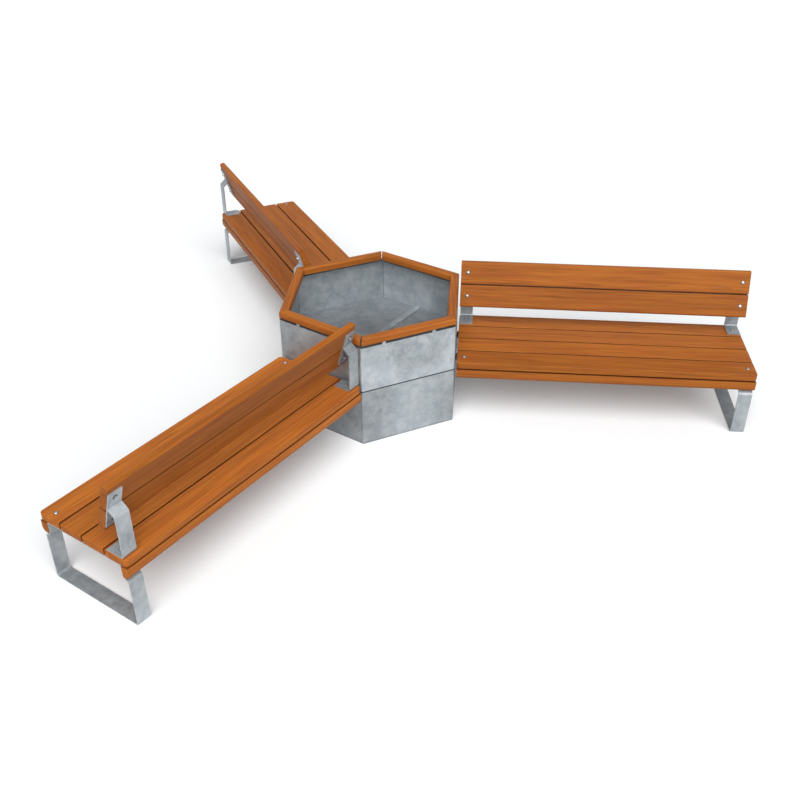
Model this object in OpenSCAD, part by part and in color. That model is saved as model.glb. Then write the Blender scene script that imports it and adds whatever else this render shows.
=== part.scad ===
// Three-armed bench round a hexagonal planter. The origin is the planter's centre on the ground.
// Bench a lies along +X, with its backrest on the +Y side. Benches b and c are turned by 120 degrees.

/* [Seat] */
// Height of the seat's top face above the ground
seat_h = 450; // [400:5:520]
// Length of the seat planks, rails and back slats
bench_l = 1905; // [1400:5:2600]
// Width of one seat plank
plank_w = 156; // [130:1:180]
// Thickness of the seat planks
plank_t = 45; // [36:1:60]
// Gap between neighbouring seat planks
plank_gap = 10; // [4:1:16]
// Rounding of the planks' top edges
plank_round = 8; // [4:1:14]
// Space between the planter's wall and the bench's inner end
end_gap = 14; // [10:1:40]

/* [Rails] */
// Thickness of the rails under the two outer planks
rail_t = 45; // [36:1:60]
// Height of the rails
rail_h = 80; // [60:1:100]
// Rounding of a rail's lower outer edge
rail_round = 30; // [8:1:32]

/* [Backrest] */
// Lean of the backrest from upright, in degrees
back_lean = 17; // [8:1:24]
// Width of one back slat
slat_w = 150; // [120:1:170]
// Thickness of the back slats
slat_t = 43; // [36:1:55]
// Gap between the two back slats
slat_gap = 8; // [4:1:14]
// Distance from the seat's rear edge forward to the backrest's lower front edge
back_setback = 158; // [140:1:170]
// Height of the backrest's lower front edge above the seat
back_rise = 146; // [110:1:180]
// Rounding of the slats' edges
slat_round = 10; // [4:1:14]

/* [Flat bars] */
// Width of the flat bar of legs, hangers and back brackets
bar_w = 86; // [60:1:100]
// Thickness of that flat bar
bar_t = 8; // [6:1:10]
// Inner radius of its bends
bar_bend = 12; // [8:1:16]
// Distance from the planks' end to the side of the bar
bar_inset = 4; // [2:1:30]

/* [Legs] */
// Distance from the seat's edge in to the upright's outer face
leg_inset = 9; // [2:1:14]
// Height of the crank where an upright steps in behind its rail
crank_rise = 22; // [18:1:40]
// Space between the crank and the rail above it
crank_clear = 4; // [2:1:10]

/* [Back brackets] */
// Distance from the seat's rear edge to the foot plate's front edge
foot_reach = 137; // [110:1:145]
// Distance from the seat's rear edge to the upright's rear face
upright_inset = 15; // [10:1:30]
// Height of the upright's top bend above the seat
upright_h = 260; // [220:1:280]
// Lean of the bracket's upper arm from upright, in degrees
arm_lean = 50; // [35:1:60]
// Length of bracket plate beyond each slat bolt
plate_margin = 39; // [24:1:50]

/* [Planter] */
// Length of one side of the hexagon, from corner to corner
planter_side = 650; // [600:10:900]
// Height of the base shell
base_h = 395; // [340:1:420]
// Height of the tub shell
tub_h = 312; // [200:1:400]
// Thickness of the sheet steel
sheet_t = 3; // [2:0.5:4]
// Outer radius of the folded corners
fold_r = 12; // [8:1:20]
// Width of the shells' inward flanges
flange_w = 48; // [44:1:60]
// Thickness of the seal between base and tub
seal_t = 5; // [3:1:8]
// Distance of the seal's edge from the wall's outer face
seal_inset = 2; // [1:0.5:2.5]
// Width of the upright joint between two half shells
seam_w = 2; // [1:0.5:4]
// Distance of the upright joint from the corner
seam_off = 11; // [8:1:20]
// Width of the rib across the floor
rib_w = 42; // [30:1:80]
// Height of the rib across the floor
rib_h = 22; // [12:1:40]

/* [Rim] */
// Width of the rim boards
rim_w = 59; // [52:1:80]
// Thickness of the rim boards
rim_t = 45; // [30:1:60]
// Rounding of the rim boards' top edges
rim_round = 14; // [6:1:20]
// Height of the spacers under the rim
spacer_h = 14; // [6:1:25]
// Width of a rim spacer along the wall
spacer_w = 22; // [18:1:50]
// Depth of a rim spacer across the rim
spacer_d = 32; // [26:1:40]
// Gap at the two open corners of the rim
rim_gap = 10; // [4:1:20]
// Gap at the four closed mitres of the rim
mitre_gap = 1; // [0.6:0.2:2]

/* [Fasteners] */
// Radius of the bench bolts' shanks
bolt_r = 5; // [4:0.5:6]
// Radius of their domed heads
head_r = 11; // [9:0.5:14]
// Height of their domed heads
head_h = 5; // [3:0.5:7]
// Distance of the seat bolts from the seat's long edge
bolt_inset = 80; // [70:1:90]
// Radius of the wood screws' shanks
screw_r = 3.5; // [2.5:0.5:4]
// Depth of the wood screws in the wood
screw_grip = 28; // [15:1:32]
// Radius of the holes for the ground anchors
anchor_r = 7; // [5:0.5:9]

/* [Hidden] */
$fn = 48;

// Space left between pieces that rest on each other
fit = 0.3;
// Space round a shank in its hole
hole_clear = 0.5;
// How far cuts run past a face
overrun = 2;
// Rounding of the boards' lower edges
low_round = 4;
// Flats along each bend and folded corner
bend_steps = 8;
fold_steps = 3;

// Washerless nut and the shank's end beyond it
nut_r = 9.5;
nut_t = 8;
tip = 4;
// Hexagon heads of the screws and of the small bolts
hex_r = 7.5;
hex_h = 5;

wood = "#b4692f";
wood_dark = "#9a5628";
steel = "#a9b1b6";
steel_dark = "#8d959a";
rubber = "#2b2d2f";

// Seat
plank_count = 4;
plank_pitch = plank_w + plank_gap;
seat_half = (plank_count * plank_pitch - plank_gap) / 2;
apothem = planter_side * cos(30);
x_in = apothem + end_gap;
x_out = x_in + bench_l;
x_mid = (x_in + x_out) / 2;
plank_low = seat_h - plank_t;
bar_mid = bar_inset + bar_w / 2;
bar_places = [x_in + bar_mid, x_out - bar_mid];
bolt_y = seat_half - bolt_inset;

// Rails
rail_top = plank_low - fit;
rail_low = rail_top - rail_h;
rail_in = seat_half - rail_t;
rail_mid_z = (rail_top + rail_low) / 2;

// Bars under the seat: their top face, middle plane and lower face
bearer_top = plank_low - fit;
bearer_mid = bearer_top - bar_t / 2;
bearer_low = bearer_top - bar_t;
bend_r = bar_bend + bar_t / 2;

// Backrest section: a starts at the lower front edge and runs up the front face, b runs to the rear
back_y = seat_half - back_setback;
back_z = seat_h + back_rise;
slat_pitch = slat_w + slat_gap;
slat_mids = [slat_w / 2, slat_pitch + slat_w / 2];
plate_b = slat_t + fit + bar_t / 2;
foot_z = seat_h + fit + bar_t / 2;
upright_y = seat_half - upright_inset - bar_t / 2;

// Middle tie under the seat
tie_w = 60;
tie_t = 6;

// Planter
wall_in = apothem - sheet_t;
tub_z = base_h + seal_t;
tub_top = tub_z + tub_h;
rim_z = tub_top + spacer_h;
flange_mid = wall_in - flange_w / 2;
spacer_share = 0.265;
spacer_at = planter_side * spacer_share;
spacer_mid = apothem - spacer_d / 2;
anchor_ring = flange_mid;
side_turns = [60, 0, -60, -120, 180, 120];

// Hanger angles on the planter's wall
angle_w = 80;
angle_drop = 110;
angle_y = 150;
upper_drop = 38;
lower_drop = 88;
angle_bolt_zs = [bearer_low - upper_drop, bearer_low - lower_drop];
wall_bolt_r = 5;

// Joint plates that hold the half shells together
joint_t = 4;
joint_l = 130;
joint_w = 34;
joint_bolt_x = 40;
joint_bolt_r = 4;

// Outlines of bent flat bars
function unit(v) = v / norm(v);
function left_of(v) = [-v.y, v.x];
function turned(v, a) = [v.x * cos(a) - v.y * sin(a), v.x * sin(a) + v.y * cos(a)];
function reversed(list) = [for (i = [len(list) - 1:-1:0]) list[i]];

// One face's points round the bend at a path's point, off to the left of the path
function bend(before, at, after, r, off) =
    let (
        u = unit(at - before),
        v = unit(after - at),
        side = u.x * v.y > u.y * v.x ? 1 : -1,
        a = acos(u * v),
        centre = at - u * r * tan(a / 2) + left_of(u) * side * r
    )
    [for (k = [0:bend_steps]) centre + turned(left_of(u), side * a * k / bend_steps) * (off - side * r)];

// One face of an open strip, from its first end to its last
function strip_side(path, r, off) =
    let (
        n = len(path) - 1,
        first = left_of(unit(path[1] - path[0])),
        last = left_of(unit(path[n] - path[n - 1]))
    )
    concat(
        [path[0] + first * off],
        [for (i = [1:n - 1]) each bend(path[i - 1], path[i], path[i + 1], r, off)],
        [path[n] + last * off]
    );

function strip(path, r, t) = concat(strip_side(path, r, t / 2), reversed(strip_side(path, r, -t / 2)));

// One face of a closed loop of strip
function loop_side(path, r, off) =
    let (n = len(path))
    [for (i = [0:n - 1]) each bend(path[(i + n - 1) % n], path[i], path[(i + 1) % n], r, off)];

// Hexagon with flats towards 0, 60, 120 degrees and folded corners
function hex_outline(flat, r) = [
    for (i = [0:5])
        for (k = [-fold_steps:fold_steps])
            let (v = 30 + 60 * i, a = v + 30 * k / fold_steps)
            (flat - r) / cos(30) * [cos(v), sin(v)] + r * [cos(a), sin(a)]
];

// Point of the backrest's section, as y and z
function back_point(a, b) =
    [back_y + a * sin(back_lean) + b * cos(back_lean), back_z + a * cos(back_lean) - b * sin(back_lean)];

// Square corner less its rounding, for the corner at the origin of a shape in the positive quadrant
module corner_waste(r) {
    difference() {
        translate([-overrun, -overrun])
            square(r + overrun);
        translate([r, r])
            circle(r);
    }
}

// Board section: width along x, height along y, one rounding for each corner from lower left, anticlockwise
module board_section(w, h, rounds) {
    difference() {
        square([w, h]);
        corner_waste(rounds[0]);
        translate([w, 0])
            mirror([1, 0])
                corner_waste(rounds[1]);
        translate([w, h])
            rotate(180)
                corner_waste(rounds[2]);
        translate([0, h])
            mirror([0, 1])
                corner_waste(rounds[3]);
    }
}

// Extrudes a y-z section along +X from x = 0
module along_x(l) {
    rotate([90, 0, 90])
        linear_extrude(l)
            children();
}

// Puts a bench's pieces on its own arm of the star
module arm(k) {
    rotate([0, 0, 120 * k])
        children();
}

// Frame of the backrest's section at a place along the bench, with +Z out of the front face
module on_back(x, a, b) {
    translate([x, back_point(a, b).x, back_point(a, b).y])
        rotate([90 - back_lean, 0, 0])
            children();
}

// Domed bolt: the head lies on z = 0, the nut's face at z = -grip
module dome_bolt(grip) {
    dome = (head_r * head_r + head_h * head_h) / (2 * head_h);
    rotate_extrude()
        intersection() {
            translate([0, head_h - dome])
                circle(dome);
            square([head_r, head_h]);
        }
    translate([0, 0, -grip - nut_t - tip])
        cylinder(h = grip + nut_t + tip, r = bolt_r);
    translate([0, 0, -grip - nut_t])
        cylinder(h = nut_t, r = nut_r, $fn = 6);
}

// Hexagon-head screw: the head's face lies at z = 0, the shank runs along +Z
module hex_screw(l, r) {
    translate([0, 0, -hex_h])
        cylinder(h = hex_h, r = hex_r, $fn = 6);
    cylinder(h = l, r = r);
}

// Small bolt along +Z through a grip, with its nut
module hex_bolt(grip, r) {
    hex_screw(grip + hex_h + tip, r);
    translate([0, 0, grip])
        cylinder(h = hex_h, r = hex_r, $fn = 6);
}

module bore(from, l, r) {
    translate(from)
        cylinder(h = l, r = r + hole_clear);
}

// Seat plank, counted from the front, with through holes for bolts and blind holes for screws
module seat_plank(i) {
    outer = i == 0 || i == plank_count - 1;
    y0 = -seat_half + i * plank_pitch;
    y_bolt = i == 0 ? -bolt_y : bolt_y;
    y_screw = y0 + plank_w / 2;
    blind = screw_grip + fit;
    color(i % 2 == 0 ? wood : wood_dark)
        difference() {
            translate([x_in, y0, plank_low])
                along_x(bench_l)
                    board_section(plank_w, plank_t, [low_round, low_round, plank_round, plank_round]);
            for (x = bar_places) {
                if (outer)
                    bore([x, y_bolt, plank_low - overrun], plank_t + 2 * overrun, bolt_r);
                else
                    bore([x, y_screw, plank_low - overrun], blind + overrun, screw_r);
            }
            bore([x_mid, y_screw, plank_low - overrun], blind + overrun, screw_r);
        }
}

// Rail under the rear plank
module rear_rail() {
    color(wood)
        difference() {
            translate([x_in, rail_in, rail_low])
                along_x(bench_l)
                    board_section(rail_t, rail_h, [low_round, rail_round, low_round, low_round]);
            for (x = bar_places)
                translate([x, rail_in - overrun, rail_mid_z])
                    rotate([-90, 0, 0])
                        cylinder(h = screw_grip + fit + overrun, r = screw_r + hole_clear);
        }
}

// The front rail is the rear one's mirror image
module front_rail() {
    mirror([0, 1, 0])
        rear_rail();
}

// Back slat: 0 is the lower one, 1 the upper one
module back_slat(i) {
    rounds = [slat_round, slat_round, slat_round, slat_round];
    color(wood)
        difference() {
            translate([x_in, back_point(i * slat_pitch, 0).x, back_point(i * slat_pitch, 0).y])
                rotate([-back_lean, 0, 0])
                    along_x(bench_l)
                        board_section(slat_t, slat_w, rounds);
            for (x = bar_places)
                on_back(x, slat_mids[i], slat_t + overrun)
                    cylinder(h = slat_t + 2 * overrun, r = bolt_r + hole_clear);
        }
}

// Cranked flat bar that carries the backrest: foot, upright, arm and a plate across both slats
module back_bracket(x) {
    top = [upright_y, seat_h + upright_h];
    // The arm ends in the middle of the plate
    plate_foot = back_point(0, plate_b);
    slope = [sin(back_lean), cos(back_lean)];
    arm_way = [-sin(arm_lean), cos(arm_lean)];
    reach = top - plate_foot;
    arm_l = (reach.x * slope.y - reach.y * slope.x) / (slope.x * arm_way.y - slope.y * arm_way.x);
    path = [[seat_half - foot_reach, foot_z], [upright_y, foot_z], top, top + arm_l * arm_way];
    plate_l = slat_pitch + 2 * plate_margin;
    color(steel)
        translate([x - bar_w / 2, 0, 0])
            difference() {
                union() {
                    along_x(bar_w)
                        polygon(strip(path, bend_r, bar_t));
                    translate([0, back_point(slat_mids[0] - plate_margin, slat_t + fit).x,
                            back_point(slat_mids[0] - plate_margin, slat_t + fit).y])
                        rotate([-back_lean, 0, 0])
                            cube([bar_w, bar_t, plate_l]);
                }
                bore([bar_w / 2, bolt_y, seat_h - overrun], bar_t + 2 * overrun, bolt_r);
                for (a = slat_mids)
                    on_back(bar_w / 2, a, slat_t + bar_t + overrun)
                        cylinder(h = bar_t + 2 * overrun, r = bolt_r + hole_clear);
            }
}

// Closed leg of bent flat bar: ground run, two cranked uprights and a bearer under the planks
module leg_frame() {
    foot_y = seat_half - leg_inset - bar_t / 2;
    top_y = rail_in - fit - bar_t / 2;
    crank_top = rail_low - crank_clear;
    half = [[foot_y, bar_t / 2], [foot_y, crank_top - crank_rise], [top_y, crank_top], [top_y, bearer_mid]];
    path = concat(half, [for (p = reversed(half)) [-p.x, p.y]]);
    x0 = x_out - bar_inset - bar_w;
    color(steel)
        difference() {
            translate([x0, 0, 0])
                along_x(bar_w)
                    difference() {
                        polygon(loop_side(path, bend_r, -bar_t / 2));
                        polygon(loop_side(path, bend_r, bar_t / 2));
                    }
            bearer_bores(x0 + bar_w / 2);
            rail_bores(x0 + bar_w / 2);
        }
}

// Holes through a bearer for the two outer bolts and the two inner screws
module bearer_bores(x) {
    for (y = [-bolt_y, bolt_y])
        bore([x, y, bearer_low - overrun], bar_t + 2 * overrun, bolt_r);
    for (y = [-plank_pitch / 2, plank_pitch / 2])
        bore([x, y, bearer_low - overrun], bar_t + 2 * overrun, screw_r);
}

// Holes through the two upright flanges beside the rails
module rail_bores(x) {
    for (side = [-1, 1])
        translate([x, side * (rail_in - fit - bar_t / 2), rail_mid_z])
            rotate([90, 0, 0])
                cylinder(h = bar_t + 2 * overrun, r = screw_r + hole_clear, center = true);
}

// Hanger at the inner end: a bearer with turned-down ends on two angles against the planter's wall
module hanger() {
    top_y = rail_in - fit - bar_t / 2;
    x0 = x_in + bar_inset;
    low = rail_low + low_round;
    path = [[top_y, low], [top_y, bearer_mid], [-top_y, bearer_mid], [-top_y, low]];
    shelf = bearer_low - bar_t / 2;
    wall_x = apothem + fit + bar_t / 2;
    angle_path = [[wall_x, shelf - angle_drop], [wall_x, shelf], [x0 + bar_w, shelf]];
    color(steel_dark)
        difference() {
            union() {
                translate([x0, 0, 0])
                    along_x(bar_w)
                        polygon(strip(path, bend_r, bar_t));
                for (y = [-angle_y, angle_y])
                    translate([0, y + angle_w / 2, 0])
                        rotate([90, 0, 0])
                            linear_extrude(angle_w)
                                polygon(strip(angle_path, bend_r, bar_t));
            }
            bearer_bores(x0 + bar_w / 2);
            rail_bores(x0 + bar_w / 2);
            wall_bores(apothem + fit + bar_t + overrun, bar_t + 2 * overrun);
        }
}

// Bores along -X through the hanger's angles and the planter's wall
module wall_bores(x, l) {
    for (y = [-angle_y, angle_y])
        for (z = angle_bolt_zs)
            translate([x, y, z])
                rotate([0, -90, 0])
                    cylinder(h = l, r = wall_bolt_r + hole_clear);
}

// Flat tie across all four planks at mid-length
module mid_tie() {
    color(steel_dark)
        difference() {
            translate([x_mid - tie_w / 2, -rail_in + fit, bearer_top - tie_t])
                cube([tie_w, 2 * (rail_in - fit), tie_t]);
            for (i = [0:plank_count - 1])
                bore([x_mid, plank_mid(i), bearer_top - tie_t - overrun], tie_t + 2 * overrun, screw_r);
        }
}

function plank_mid(i) = -seat_half + i * plank_pitch + plank_w / 2;

// All bolts and screws of one bench
module bench_fixings() {
    seat_grip = plank_t + fit + bar_t + fit;
    screw_l = bar_t + fit + screw_grip;
    color(steel) {
        for (x = bar_places) {
            translate([x, -bolt_y, seat_h + fit])
                dome_bolt(seat_grip + fit);
            translate([x, bolt_y, seat_h + fit + bar_t + fit])
                dome_bolt(seat_grip + bar_t + 2 * fit);
            for (a = slat_mids)
                on_back(x, a, -fit)
                    dome_bolt(slat_t + bar_t + 3 * fit);
            for (y = [-plank_pitch / 2, plank_pitch / 2])
                translate([x, y, bearer_low - fit])
                    hex_screw(screw_l, screw_r);
            for (side = [-1, 1])
                translate([x, side * (rail_in - bar_t - 2 * fit), rail_mid_z])
                    rotate([-side * 90, 0, 0])
                        hex_screw(screw_l, screw_r);
        }
        for (i = [0:plank_count - 1])
            translate([x_mid, plank_mid(i), bearer_top - tie_t - fit])
                hex_screw(tie_t + fit + screw_grip, screw_r);
        for (y = [-angle_y, angle_y])
            for (z = angle_bolt_zs)
                translate([apothem + bar_t + 2 * fit, y, z])
                    rotate([0, -90, 0])
                        hex_bolt(bar_t + sheet_t + 3 * fit, wall_bolt_r);
    }
}

// Half of the plan, right of the two upright joints; the left half is the same turned round
module half_plan(h) {
    far = planter_side + overrun;
    near = seam_w / 2;
    linear_extrude(h)
        polygon([
            [near - seam_off, -far], [far, -far], [far, far],
            [near + seam_off, far], [near + seam_off, 0], [near - seam_off, 0]
        ]);
}

module hex_ring(flat, w, r, h) {
    linear_extrude(h)
        difference() {
            polygon(hex_outline(flat, r));
            polygon(hex_outline(flat - w, max(r - w, sheet_t)));
        }
}

// Wall with a folded-in flange of the given height at its top
module shell(h) {
    hex_ring(apothem, sheet_t, fold_r, h);
    translate([0, 0, h - sheet_t])
        hex_ring(wall_in, flange_w, fold_r - sheet_t, sheet_t);
}

// Half of the base, turned to its side: wall, top flange and a ground flange with anchor holes
module base_half(turn) {
    color(steel)
        difference() {
            rotate([0, 0, turn])
                intersection() {
                    union() {
                        shell(base_h);
                        hex_ring(wall_in, flange_w, fold_r - sheet_t, sheet_t);
                    }
                    half_plan(base_h);
                }
            for (a = [0:60:300])
                rotate([0, 0, a])
                    translate([anchor_ring, 0, -overrun])
                        cylinder(h = sheet_t + 2 * overrun, r = anchor_r);
            for (k = [0:2])
                arm(k)
                    wall_bores(apothem + overrun, sheet_t + 2 * overrun);
            joint_bores(base_h);
        }
}

// Half of the tub, turned to its side: wall and top flange with holes for the rim screws
module tub_half(turn) {
    color(steel)
        difference() {
            translate([0, 0, tub_z])
                rotate([0, 0, turn])
                    intersection() {
                        shell(tub_h);
                        half_plan(tub_h);
                    }
            at_spacers()
                bore([0, 0, tub_top - sheet_t - overrun], sheet_t + 2 * overrun, screw_r);
            joint_bores(tub_top);
        }
}

module joint_bores(top) {
    at_joint_bolts()
        bore([0, 0, top - sheet_t - joint_t - overrun], sheet_t + joint_t + 2 * overrun, joint_bolt_r);
}

// Both sides of the two seam corners, in the middle of the flange
module at_joint_bolts() {
    for (turn = [0, 180])
        for (side = [-1, 1])
            rotate([0, 0, turn])
                translate([side * joint_bolt_x, flange_mid / cos(30) - joint_bolt_x * tan(30), 0])
                    children();
}

module at_spacers() {
    for (turn = side_turns)
        for (side = [-1, 1])
            rotate([0, 0, turn])
                translate([spacer_mid, side * spacer_at, 0])
                    children();
}

// Seal between the base's top flange and the tub
module base_seal() {
    color(rubber)
        translate([0, 0, base_h + fit])
            hex_ring(apothem - seal_inset, flange_w, fold_r - seal_inset, seal_t - 2 * fit);
}

module tub_floor() {
    color(steel_dark)
        translate([0, 0, tub_z])
            linear_extrude(sheet_t)
                polygon(hex_outline(wall_in - fit, fold_r - sheet_t));
}

// Folded rib that stiffens the floor, from wall to wall under bench c's side
module floor_rib() {
    half = (rib_w - sheet_t) / 2;
    top = rib_h - sheet_t / 2;
    rib_l = 2 * (wall_in - sheet_t);
    path = [[-half, 0], [-half, top], [half, top], [half, 0]];
    color(steel)
        rotate([0, 0, 60])
            translate([-rib_l / 2, 0, tub_z + sheet_t + fit])
                along_x(rib_l)
                    polygon(strip(path, 2 * sheet_t, sheet_t));
}

// Rim board on one side of the hexagon; gaps at its clockwise and anticlockwise ends
module rim_board(turn, gap_low, gap_high) {
    blank = 2 * apothem * tan(30) + 2 * overrun;
    reach = 2 * planter_side;
    color(wood)
        rotate([0, 0, turn])
            difference() {
                translate([apothem - rim_w, blank / 2, rim_z])
                    rotate([90, 0, 0])
                        linear_extrude(blank)
                            board_section(rim_w, rim_t, [low_round, low_round, rim_round, rim_round]);
                rotate([0, 0, 30])
                    translate([0, -gap_high / 2, rim_z - overrun])
                        cube([reach, reach, rim_t + 2 * overrun]);
                rotate([0, 0, -30])
                    translate([0, gap_low / 2 - reach, rim_z - overrun])
                        cube([reach, reach, rim_t + 2 * overrun]);
                for (side = [-1, 1])
                    bore([spacer_mid, side * spacer_at, rim_z - overrun], screw_grip + fit + overrun, screw_r);
            }
}

// Spacers between the tub's flange and the rim
module rim_spacers() {
    color(steel)
        at_spacers()
            difference() {
                translate([-spacer_d / 2, -spacer_w / 2, tub_top + fit])
                    cube([spacer_d, spacer_w, spacer_h - 2 * fit]);
                bore([0, 0, tub_top - overrun], spacer_h + 2 * overrun, screw_r);
            }
}

module rim_screws() {
    color(steel)
        at_spacers()
            translate([0, 0, tub_top - sheet_t - fit])
                hex_screw(sheet_t + spacer_h + fit + screw_grip, screw_r);
}

// Plates under the flanges that bridge the seams, at the base's top and the tub's top
module joint_plates() {
    flat = flange_mid + joint_w / 2;
    color(steel_dark)
        for (top = [base_h, tub_top])
            difference() {
                translate([0, 0, top - sheet_t - fit - joint_t])
                    intersection() {
                        hex_ring(flat, joint_w, sheet_t, joint_t);
                        translate([-joint_l / 2, -planter_side, 0])
                            cube([joint_l, 2 * planter_side, joint_t]);
                    }
                joint_bores(top);
            }
}

module joint_bolts() {
    color(steel)
        for (top = [base_h, tub_top])
            at_joint_bolts()
                translate([0, 0, top - sheet_t - joint_t - 2 * fit])
                    hex_screw(joint_t + sheet_t + fit, joint_bolt_r);
}

arm(0) seat_plank(0);  // plank_a1
arm(0) seat_plank(1);  // plank_a2
arm(0) seat_plank(2);  // plank_a3
arm(0) seat_plank(3);  // plank_a4
arm(0) front_rail();  // rail_front_a
arm(0) rear_rail();  // rail_rear_a
arm(0) back_slat(0);  // slat_lower_a
arm(0) back_slat(1);  // slat_upper_a
arm(0) back_bracket(bar_places[1]);  // back_bracket_outer_a
arm(0) back_bracket(bar_places[0]);  // back_bracket_inner_a
arm(0) leg_frame();  // leg_frame_a
arm(0) hanger();  // hanger_a
arm(0) mid_tie();  // mid_tie_a
arm(0) bench_fixings();  // fixings_a

arm(1) seat_plank(0);  // plank_b1
arm(1) seat_plank(1);  // plank_b2
arm(1) seat_plank(2);  // plank_b3
arm(1) seat_plank(3);  // plank_b4
arm(1) front_rail();  // rail_front_b
arm(1) rear_rail();  // rail_rear_b
arm(1) back_slat(0);  // slat_lower_b
arm(1) back_slat(1);  // slat_upper_b
arm(1) back_bracket(bar_places[1]);  // back_bracket_outer_b
arm(1) back_bracket(bar_places[0]);  // back_bracket_inner_b
arm(1) leg_frame();  // leg_frame_b
arm(1) hanger();  // hanger_b
arm(1) mid_tie();  // mid_tie_b
arm(1) bench_fixings();  // fixings_b

arm(2) seat_plank(0);  // plank_c1
arm(2) seat_plank(1);  // plank_c2
arm(2) seat_plank(2);  // plank_c3
arm(2) seat_plank(3);  // plank_c4
arm(2) front_rail();  // rail_front_c
arm(2) rear_rail();  // rail_rear_c
arm(2) back_slat(0);  // slat_lower_c
arm(2) back_slat(1);  // slat_upper_c
arm(2) back_bracket(bar_places[1]);  // back_bracket_outer_c
arm(2) back_bracket(bar_places[0]);  // back_bracket_inner_c
arm(2) leg_frame();  // leg_frame_c
arm(2) hanger();  // hanger_c
arm(2) mid_tie();  // mid_tie_c
arm(2) bench_fixings();  // fixings_c

base_half(0);  // base_half_right
base_half(180);  // base_half_left
base_seal();
tub_half(0);  // tub_half_right
tub_half(180);  // tub_half_left
tub_floor();
floor_rib();
rim_board(side_turns[0], mitre_gap, rim_gap);  // rim_board_1
rim_board(side_turns[1], mitre_gap, mitre_gap);  // rim_board_2
rim_board(side_turns[2], rim_gap, mitre_gap);  // rim_board_3
rim_board(side_turns[3], mitre_gap, rim_gap);  // rim_board_4
rim_board(side_turns[4], mitre_gap, mitre_gap);  // rim_board_5
rim_board(side_turns[5], rim_gap, mitre_gap);  // rim_board_6
rim_spacers();
rim_screws();
joint_plates();
joint_bolts();
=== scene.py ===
import math
import random
from collections import namedtuple

import bmesh
import bpy
from mathutils import Matrix, Vector


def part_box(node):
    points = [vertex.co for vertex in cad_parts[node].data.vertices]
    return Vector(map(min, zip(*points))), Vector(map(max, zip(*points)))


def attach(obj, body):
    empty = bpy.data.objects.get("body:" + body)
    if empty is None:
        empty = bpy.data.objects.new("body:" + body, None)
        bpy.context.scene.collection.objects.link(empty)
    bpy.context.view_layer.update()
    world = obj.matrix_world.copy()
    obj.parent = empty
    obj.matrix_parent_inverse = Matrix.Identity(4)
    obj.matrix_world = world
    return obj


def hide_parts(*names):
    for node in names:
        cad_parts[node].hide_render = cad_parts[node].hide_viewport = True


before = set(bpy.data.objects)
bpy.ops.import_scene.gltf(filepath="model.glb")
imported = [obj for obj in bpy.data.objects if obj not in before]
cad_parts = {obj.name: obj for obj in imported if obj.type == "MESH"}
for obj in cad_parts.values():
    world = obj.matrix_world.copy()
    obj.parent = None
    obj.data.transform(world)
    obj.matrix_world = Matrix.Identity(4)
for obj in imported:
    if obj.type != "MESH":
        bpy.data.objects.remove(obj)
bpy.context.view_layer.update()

bl_info = {
    "name": "Modular Bench",
    "version": (1, 0, 0),
    "blender": (4, 5, 0),
    "location": "3D View > Sidebar > Bench",
    "description": "Finishes and small pieces for a three-armed bench round a planter",
    "category": "Object",
}

BODY = "root"
SHELLS = ("tub_half_right", "tub_half_left", "base_half_right", "base_half_left")
# How far the length of each bench and of each rim board is turned from +X, in degrees
ARMS = {"a": 0.0, "b": 120.0, "c": 240.0}
RIM_TURNS = (150.0, 90.0, 30.0, -30.0, 270.0, 210.0)

# Half the angle that one side of the planter spans, and sizes of the CAD model in metres
HEX_ANGLE = math.radians(30.0)
PLANTER_SIDE = 0.65
PLANTER_HALF = PLANTER_SIDE * math.cos(HEX_ANGLE)
PLANKS = 4
PLANK_WIDTH = 0.156
SLAT_WIDTH = 0.150
SLAT_THICKNESS = 0.043
BACK_LEAN = math.radians(17.0)
BAR_THICKNESS = 0.008
# How far the seat's bolts lie from its middle line
BOLT_Y = 0.247
# The thickness of the shells, and how far their upright joints lie from the corner
SHEET = 0.003
SEAM_X = 0.011
# The thin gap between pieces that are bolted together
FIT = 0.0003
# Coordinates closer than this are the same
NEAR = 1e-5

# Sizes of the small pieces, steps in the roundings, and the angle under which faces count as one
# The washers are sheets of painted shade, thinner than the gap they lie in
SHADE_WASHER_THICKNESS = 0.8 * FIT
SHADE_WASHER_SIDES = 24
BEAD_THICKNESS = SHEET / 2
BEAD_DEPTH = 0.78 * SHEET
CORNER_STEPS = 5
EDGE_STEPS = 3
SLAT_STEPS = 4
END_STEPS = 2
MERGED_ANGLE = math.radians(1.0)

# The sides of each board that face a narrow gap and get painted shade there: -1 is the front or lower side,
# 1 the rear or upper side
BOARDS = {"plank_{}1": (1,), "plank_{}2": (-1, 1), "plank_{}3": (-1, 1), "plank_{}4": (-1,),
          "rail_front_{}": (), "rail_rear_{}": (), "slat_lower_{}": (1,), "slat_upper_{}": (-1,)}
# A board: its lean, half its width, its sides at a gap, the height of its joint over its middle, its tone,
# into which painted light and painted shade are also put
Board = namedtuple("Board", "lean half gaps joint tone")
# How bright single nodes are, where that isn't 1. Partly the pieces' own tone, partly painted light on the
# boards of bench c that face away from the lamp, and painted shade on pieces such as the planter's base,
# its left tub half and its floor in the well
TONES_AND_PAINTED_LIGHT = {"slat_lower_a": 0.84, "slat_upper_a": 0.87, "plank_a1": 0.88, "slat_lower_c": 1.1,
         "slat_upper_c": 0.98, "rail_rear_c": 1.42, "plank_c4": 1.3, "plank_c3": 1.15, "plank_c2": 1.15,
         "plank_c1": 1.38, "leg_frame_a": 0.82, "leg_frame_c": 1.04, "back_bracket_outer_a": 0.78,
         "back_bracket_inner_a": 0.9, "back_bracket_outer_c": 1.16, "tub_half_right": 1.03,
         "tub_half_left": 0.87, "base_half_right": 0.86, "base_half_left": 0.76, "tub_floor": 0.62,
         "floor_rib": 0.92}

# The middle of a noise's values, and how a pattern's start is shared between two of its axes
MIDDLE = 0.5
START_SLANT = 0.7

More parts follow.
